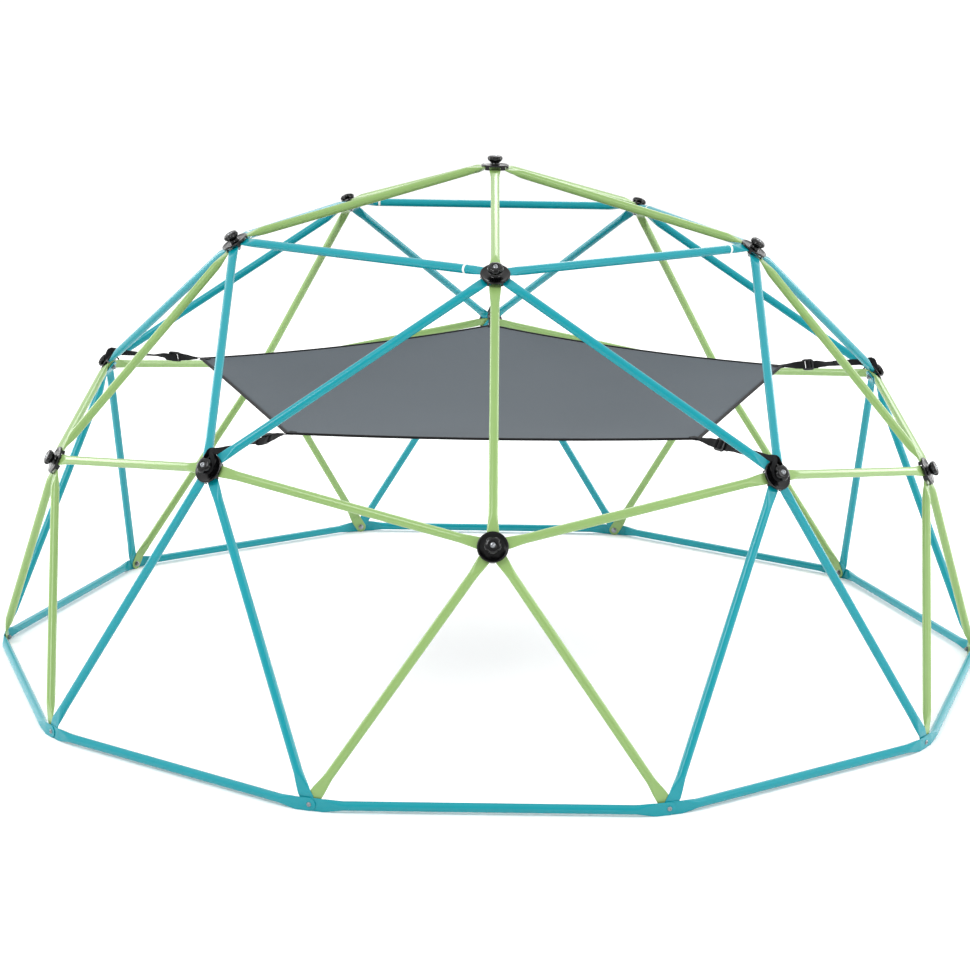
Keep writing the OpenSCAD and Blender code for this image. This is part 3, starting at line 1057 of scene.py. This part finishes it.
def cloth_plan(bm, hang):
    """The flat cut: five kites round the middle, divided, with their edges drawn in."""
    sizes = hang.sizes
    start = bmesh.ops.create_circle(bm, cap_ends=True, segments=10, radius=1.0)
    in_order = sorted(start["verts"], key=lambda v: math.atan2(v.co.y, v.co.x))
    for k, v in enumerate(in_order):
        az = k * STEP / 2
        radius = sizes.corner_r if k % 2 else hang.apothem
        v.co = (radius * math.sin(az), -radius * math.cos(az), 0)
    middle = bmesh.ops.poke(bm, faces=bm.faces[:])["verts"][0]
    middle.co = (0, 0, 0)
    seams = [
        e for e in middle.link_edges
        if e.other_vert(middle).co.length > (sizes.corner_r + hang.apothem) / 2
    ]
    bmesh.ops.dissolve_edges(bm, edges=seams, use_verts=False)
    bmesh.ops.subdivide_edges(
        bm, edges=bm.edges[:], cuts=sizes.cloth_cells - 1, use_grid_fill=True
    )


class CLIMBER_OT_hammock(bpy.types.Operator):
    """Cuts the cloth, lets it hang from its edge, and binds the edge"""

    bl_idname = "climber.hammock"
    bl_label = "Hammock"

    def execute(self, context):
        scene = context.scene
        hang = Hang(scene)
        bm = bmesh.new()
        cloth_plan(bm, hang)
        layer = bm.loops.layers.uv.verify()
        for face in bm.faces:
            for loop in face.loops:
                loop[layer].uv = loop.vert.co.to_2d()
        for v in bm.verts:
            draw_in(v, hang)
        area = sum(f.calc_area() for f in bm.faces)
        for v in bm.verts:
            v.co.z = hang.bowl(v.co.to_2d().length)
        cloth = woven(
            "grey_woven_polyester", scene.climber_finish.cloth, 3 * MM, 3 * MM, 0.9, 1.12, 0.06
        )
        panel = finish(bm, "hammock_cloth", None, cloth,
                       ["hammock_panel"], sharp=180)
        settle(scene, panel, hang)
        edge = edge_points(panel)
        wall = panel.modifiers.new("Cloth thickness", "SOLIDIFY")
        wall.thickness = CLOTH_T
        wall.offset = 0
        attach(panel, "hammock")
        binding = bind_edge(edge, hang, webbing_finish(scene.climber_finish))
        return {"FINISHED"}


def draw_in(v, hang):
    """Draws a point of the cut in, towards the middle of its edge."""
    az = math.atan2(v.co.x, -v.co.y)
    facing = round(az / STEP) * STEP
    out = Vector((math.sin(facing), -math.cos(facing), 0))
    side = Vector((math.cos(facing), math.sin(facing), 0))
    d, w = v.co.dot(out), v.co.dot(side)
    if d < MM:
        return
    u = w / (d * math.tan(STEP / 2))
    d -= hang.sizes.edge_dip * (1 - u * u) * (d / hang.apothem) ** 2
    v.co = out * d + side * w


def settle(scene, panel, hang):
    """Lets the cloth hang from its taut, bound edge under its own weight."""
    bm = bmesh.new()
    bm.from_mesh(panel.data)
    held = hang.sizes.corner_r - TAB_HOLD
    taut = [v.index for v in bm.verts if v.is_boundary or v.co.to_2d().length > held]
    bm.free()
    pins = panel.vertex_groups.new(name="taut")
    pins.add(taut, 1.0, "ADD")
    cloth = panel.modifiers.new("Cloth", "CLOTH")
    cloth.settings.quality = 8
    cloth.settings.mass = 0.1
    cloth.settings.tension_stiffness = 250
    cloth.settings.compression_stiffness = 60
    cloth.settings.shear_stiffness = 60
    cloth.settings.bending_stiffness = 0.4
    cloth.settings.air_damping = 2
    cloth.settings.vertex_group_mass = pins.name
    cloth.collision_settings.use_collision = False
    for k in range(1, hang.sizes.settle_frames + 1):
        scene.frame_set(k)
    hung = panel.evaluated_get(bpy.context.evaluated_depsgraph_get())
    places = [v.co.copy() for v in hung.data.vertices]
    panel.modifiers.remove(cloth)
    panel.vertex_groups.clear()
    scene.frame_set(1)
    for v, place in zip(panel.data.vertices, places):
        v.co = place
    panel.data.update()


def edge_points(panel):
    """The cloth's edge, in order round the dome's axis."""
    bm = bmesh.new()
    bm.from_mesh(panel.data)
    edge = [v.co.copy() for v in bm.verts if v.is_boundary]
    bm.free()
    return sorted(edge, key=lambda p: math.atan2(p.y, p.x))


def bind_edge(edge, hang, material):
    """Folds a tape over the whole edge."""
    half_w = hang.sizes.binding_w / 2
    sections = []
    for k, p in enumerate(edge):
        tangent = (edge[(k + 1) % len(edge)] - edge[k - 1]).normalized()
        up = (UP - UP.dot(tangent) * tangent).normalized()
        inward = up.cross(tangent)
        middle = p + inward * (half_w - TAPE_PAST_EDGE)
        sections.append(Flat(middle, inward, up, half_w, TAPE_T / 2))
    bm = bmesh.new()
    skin(bm, sections, 14, closed=True, cloth=True)
    return finish(bm, "hammock_edge_tape", "hammock", material,
                  ["hammock_binding"], sharp=60)


class CLIMBER_OT_corner_tabs(bpy.types.Operator):
    """Sews a webbing tab on each corner and loops it round its buckle's bar"""

    bl_idname = "climber.corner_tabs"
    bl_label = "Corner tabs"

    def execute(self, context):
        scene = context.scene
        hang = Hang(scene)
        sizes = hang.sizes
        half_t = sizes.webbing_t / 2
        bar_r = sizes.buckle_r - BUCKLE_L / 2 + BUCKLE_BAR / 2
        corner = sizes.corner_r
        bm = bmesh.new()
        for i in range(5):
            cloth_z = hang.bowl(corner - TAB_SEWN) - hang.height
            # Each row: radius, gap from the cloth's or tab's middle, lean, half width.
            layer = [
                (corner - TAB_SEWN, 2.6 * MM, 0, 11 * MM),
                (corner - 14 * MM, 2.6 * MM, 0, 10 * MM),
                (corner + 4 * MM, 2.2 * MM, 12, 6.5 * MM),
                (corner + 22 * MM, 1.7 * MM, 32, 8 * MM),
                (corner + 42 * MM, 1.5 * MM, 54, 11 * MM),
                (bar_r - 12 * MM, 1.8 * MM, ON_EDGE, 12 * MM),
            ]
            over = [
                hang.row(i, r, gap + (cloth_z if r < corner else 0), lean, half_w)
                for r, gap, lean, half_w in layer
            ]
            under = [
                hang.row(i, r, (cloth_z if r < corner else 0) - gap, lean, half_w)
                for r, gap, lean, half_w in reversed(layer)
            ]
            under = [(p, -up, half_w) for p, up, half_w in under]
            rows = over + hang.bar_rows(i, bar_r, BUCKLE_BAR, 110, -110, 12 * MM) + under
            skin(bm, webbing_run(rows, half_t), 14, cloth=True)
        finish(bm, "corner_tabs_sewn", "hammock", webbing_finish(scene.climber_finish),
               ["corner_tabs"], sharp=60)
        return {"FINISHED"}


class CLIMBER_OT_buckles(bpy.types.Operator):
    """Moulds the ladder-lock buckles"""

    bl_idname = "climber.buckles"
    bl_label = "Buckles"

    def execute(self, context):
        scene = context.scene
        hang = Hang(scene)
        outer, inner = BUCKLE_L / 2, BUCKLE_MIDDLE / 2
        xs = [-outer, BUCKLE_BAR - outer, -inner, inner, outer - BUCKLE_BAR, outer]
        ys = [0, BUCKLE_BAR, BUCKLE_W - BUCKLE_BAR, BUCKLE_W]
        columns, rows = len(xs) - 1, len(ys) - 1
        bm = bmesh.new()
        for i in range(5):
            place = hang.corner(i, ON_EDGE)
            made = bmesh.ops.create_grid(bm, x_segments=columns, y_segments=rows, size=1.0)
            verts = made["verts"]
            faces = {f for v in verts for f in v.link_faces}
            slots = []
            for face in faces:
                cell = face.calc_center_median()
                column = int((cell.x + 1) / 2 * columns)
                row = int((cell.y + 1) / 2 * rows)
                if column in (1, 3) and row == 1:
                    slots.append(face)
            for v in verts:
                column = round((v.co.x + 1) / 2 * columns)
                row = round((v.co.y + 1) / 2 * rows)
                drawn_in = BUCKLE_DRAWN_IN if column in (0, columns) else 1.0
                v.co = (hang.sizes.buckle_r + xs[column],
                        (ys[row] - BUCKLE_W / 2) * drawn_in, -BUCKLE_T / 2)
            bmesh.ops.delete(bm, geom=slots, context="FACES_ONLY")
            solid = [f for f in faces if f.is_valid]
            grown = bmesh.ops.extrude_face_region(bm, geom=solid, use_keep_orig=True)
            lifted = [g for g in grown["geom"] if isinstance(g, bmesh.types.BMVert)]
            bmesh.ops.translate(bm, verts=lifted, vec=(0, 0, BUCKLE_T))
            bmesh.ops.transform(bm, matrix=place, verts=verts + lifted)
        plastic = moulded_plastic(
            "black_acetal", scene.climber_finish.plastic, 0.38, 0.5
        )
        finish(bm, "strap_buckles_moulded", "hammock", plastic,
               ["strap_buckles"], bevel=1.6 * MM, sharp=50)
        return {"FINISHED"}


class CLIMBER_OT_straps(bpy.types.Operator):
    """Loops each strap round its hub's neck and runs it in to its buckle"""

    bl_idname = "climber.straps"
    bl_label = "Straps"

    def execute(self, context):
        scene = context.scene
        hang = Hang(scene)
        material = webbing_finish(scene.climber_finish)
        for i in range(5):
            bm = bmesh.new()
            neck_band(bm, hang, i)
            for side in (1, -1):
                strap_leg(bm, hang, i, side)
            nodes = [f"strap_{i + 1}"] + (["neck_loops"] if i == 0 else [])
            piece = finish(bm, f"strap_{i + 1}_webbing", None, material, nodes,
                           sharp=60)
            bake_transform(piece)
        return {"FINISHED"}


def hub_place(hang, i):
    p = hang.dome.belt_six[i]
    return hang.dome.at_joint(p) @ Matrix.Translation((0, 0, hang.dome.stack_h(p) / 2))


def neck_band(bm, hang, i):
    """The folded webbing round the neck."""
    place = hub_place(hang, i)
    turn = place.to_3x3()
    sections = []
    for k in range(NECK_LOOP_ROWS):
        a = TURN * k / NECK_LOOP_ROWS
        out = Vector((math.cos(a), math.sin(a), 0))
        sections.append(Flat(
            place @ (out * NECK_LOOP_R + UP * NECK_LOOP_H), turn @ UP, turn @ out,
            NECK_LOOP_W / 2, NECK_LOOP_T / 2,
        ))
    skin(bm, sections, 12, closed=True, cloth=True)


def strap_leg(bm, hang, i, side):
    """One leg: off the neck on edge, between the upper tubes and inward to its end.

    The second leg goes on through the buckle: behind its outer bar, round its middle bar
    and back out as a short tail.
    """
    sizes = hang.sizes
    hub = hub_place(hang, i)
    turn = hub.to_3x3()
    half_t = sizes.webbing_t / 2
    full = sizes.webbing_w / 2
    rim_x = hang.fittings.cap_d / 2
    face = Vector((0, 1, 0))
    # Each row: a point in the hub's own frame, the webbing's face, and half its width.
    rows = [
        (Vector((-4 * MM, side * NECK_LOOP_R, NECK_LOOP_H)), face, NECK_LOOP_W / 2),
        (Vector((8 * MM, side * 17.4 * MM, 8.6 * MM)), face, 4.6 * MM),
        (Vector((20 * MM, side * 15 * MM, 12.5 * MM)), face, 7.5 * MM),
        (Vector((31 * MM, side * 9 * MM, 16 * MM)), face, 9.5 * MM),
        (Vector((rim_x + MM, side * 3 * MM, 15.5 * MM)), face, 10.5 * MM),
    ]
    rows = [(hub @ p, turn @ up, w) for p, up, w in rows]
    lift = side * half_t * 1.1
    outer_bar = sizes.buckle_r + BUCKLE_L / 2 - BUCKLE_BAR / 2
    sewn_end = hang.hinge_r - 80 * MM
    for r, lean, w in (
        (hang.hinge_r + 20 * MM, 84, 9.5 * MM), (hang.hinge_r, 70, 9.5 * MM),
        (hang.hinge_r - 25 * MM, 48, 10.5 * MM), (sewn_end + 22 * MM, 30, 11.5 * MM),
        (sewn_end, 24, full),
    ):
        rows.append(hang.row(i, r, lift, lean, w))
    if side < 0:
        centre = sizes.buckle_r
        rows.append(hang.row(i, sewn_end - 25 * MM, lift, 22, full))
        rows.append(hang.row(i, outer_bar + 22 * MM, 0, 50, full))
        rows.append(hang.row(i, outer_bar + 8 * MM, -3.4 * MM, ON_EDGE, full))
        rows.append(hang.row(i, outer_bar - MM, -3.8 * MM, ON_EDGE, full))
        rows += hang.bar_rows(i, centre, BUCKLE_MIDDLE, 15, 270, full)
        for ahead, drop, lean in ((10, 6.3, 0), (18, 6.7, 0), (29, 5.6, 4), (36, 3.4, 12)):
            point, up, w = hang.row(i, centre + ahead * MM, -drop * MM, ON_EDGE - lean, full)
            rows.append((point, -up, w))
    skin(bm, webbing_run(rows, half_t), 12, cloth=True)


def webbing_run(rows, half_t):
    rows = smooth_path(rows, 4)
    return strip([r[0] for r in rows], [r[1] for r in rows], [r[2] for r in rows], half_t)


# ---- Stage ----

SENSOR_W = 36
FLOOR_HALF_W = 40
LAMP_SIZE = 3
LAMP_AIM = Vector((0, 0, 0.7))


class CLIMBER_OT_stage(bpy.types.Operator):
    """Sets up the camera, the lights and the floor"""

    bl_idname = "climber.stage"
    bl_label = "Stage"

    def execute(self, context):
        scene = context.scene
        stage = scene.climber_stage
        ahead = Vector((
            math.sin(stage.yaw) * math.cos(stage.pitch),
            math.cos(stage.yaw) * math.cos(stage.pitch), -math.sin(stage.pitch),
        ))
        level = Vector((math.cos(stage.yaw), -math.sin(stage.yaw), 0))
        right = math.cos(stage.roll) * level + math.sin(stage.roll) * level.cross(ahead)
        data = bpy.data.cameras.new("Camera")
        data.lens = stage.lens
        data.sensor_width = SENSOR_W
        camera = bpy.data.objects.new("Camera", data)
        camera.matrix_world = axes(Vector(stage.camera), right, right.cross(ahead), -ahead)
        scene.collection.objects.link(camera)
        scene.camera = camera
        scene.view_settings.view_transform = "Standard"

        bm = bmesh.new()
        bmesh.ops.create_grid(bm, x_segments=1, y_segments=1, size=FLOOR_HALF_W)
        mesh = bpy.data.meshes.new("floor")
        bm.to_mesh(mesh)
        bm.free()
        floor = bpy.data.objects.new("floor", mesh)
        scene.collection.objects.link(floor)
        material, _, shader = new_finish("studio_floor", {"Roughness": 0.85})
        shader.inputs["Base Color"].default_value = linear(scene.climber_finish.floor)
        mesh.materials.append(material)

        world = bpy.data.worlds.new("Studio")
        world.use_nodes = True
        tree = world.node_tree
        sky = tree.nodes["Background"]
        sky.inputs["Color"].default_value = (1, 1, 1, 1)
        ray = add_node(tree, "ShaderNodeTexCoord", {}).outputs["Generated"]
        parts = add_node(tree, "ShaderNodeSeparateXYZ", {"Vector": ray})
        # Brighter behind the piece than in front, which gives round tubes pale rims.
        glow = add_node(
            tree, "ShaderNodeMapRange",
            {"Value": parts.outputs["Y"], "From Min": -0.9, "From Max": 0.1, "To Min": 0.5,
             "To Max": 1.25},
        )
        tree.links.new(glow.outputs["Result"], sky.inputs["Strength"])
        scene.world = world
        for name, place, power in (
            ("Key", (-3.5, -5.0, 6.5), 260),
            ("Fill", (5.0, -3.5, 4.0), 110),
            ("Rim", (1.0, 6.0, 5.5), 120),
            ("Left rim", (-6.0, 3.0, 2.5), 160),
            ("Right rim", (6.0, 3.0, 2.5), 160),
        ):
            light = bpy.data.lights.new(name, "AREA")
            light.energy = power
            light.size = LAMP_SIZE
            lamp = bpy.data.objects.new(name, light)
            lamp.location = place
            aim = LAMP_AIM - Vector(place)
            lamp.rotation_euler = aim.to_track_quat("-Z", "Y").to_euler()
            scene.collection.objects.link(lamp)
        return {"FINISHED"}


OPERATORS = (
    CLIMBER_OT_stage,
    CLIMBER_OT_tubes,
    CLIMBER_OT_caps,
    CLIMBER_OT_fasteners,
    CLIMBER_OT_bands,
    CLIMBER_OT_buckles,
    CLIMBER_OT_hammock,
    CLIMBER_OT_corner_tabs,
    CLIMBER_OT_straps,
)
SETTINGS = {
    "climber_dome": ClimberDome,
    "climber_fittings": ClimberFittings,
    "climber_hammock": ClimberHammock,
    "climber_finish": ClimberFinish,
    "climber_stage": ClimberStage,
}


class CLIMBER_PT_panel(bpy.types.Panel):
    """Lists the settings and the pieces"""

    bl_idname = "CLIMBER_PT_panel"
    bl_label = "Dome Climber"
    bl_space_type = "VIEW_3D"
    bl_region_type = "UI"
    bl_category = "Climber"

    def draw(self, context):
        for name in SETTINGS:
            settings = getattr(context.scene, name)
            box = self.layout.box()
            for key in settings.bl_rna.properties.keys():
                if key not in {"rna_type", "name"}:
                    box.prop(settings, key)
        for operator in OPERATORS:
            self.layout.operator(operator.bl_idname)


def register():
    for cls in (*SETTINGS.values(), *OPERATORS, CLIMBER_PT_panel):
        bpy.utils.register_class(cls)
    for name, cls in SETTINGS.items():
        setattr(bpy.types.Scene, name, PointerProperty(type=cls))


def unregister():
    for name in SETTINGS:
        delattr(bpy.types.Scene, name)
    for cls in (CLIMBER_PT_panel, *OPERATORS, *SETTINGS.values()):
        bpy.utils.unregister_class(cls)


def main():
    register()
    bpy.ops.climber.stage()
    bpy.ops.climber.tubes()
    bpy.ops.climber.caps()
    bpy.ops.climber.fasteners()
    bpy.ops.climber.bands()
    bpy.ops.climber.buckles()
    bpy.ops.climber.hammock()
    bpy.ops.climber.corner_tabs()
    bpy.ops.climber.straps()


if __name__ == "__main__":
    main()
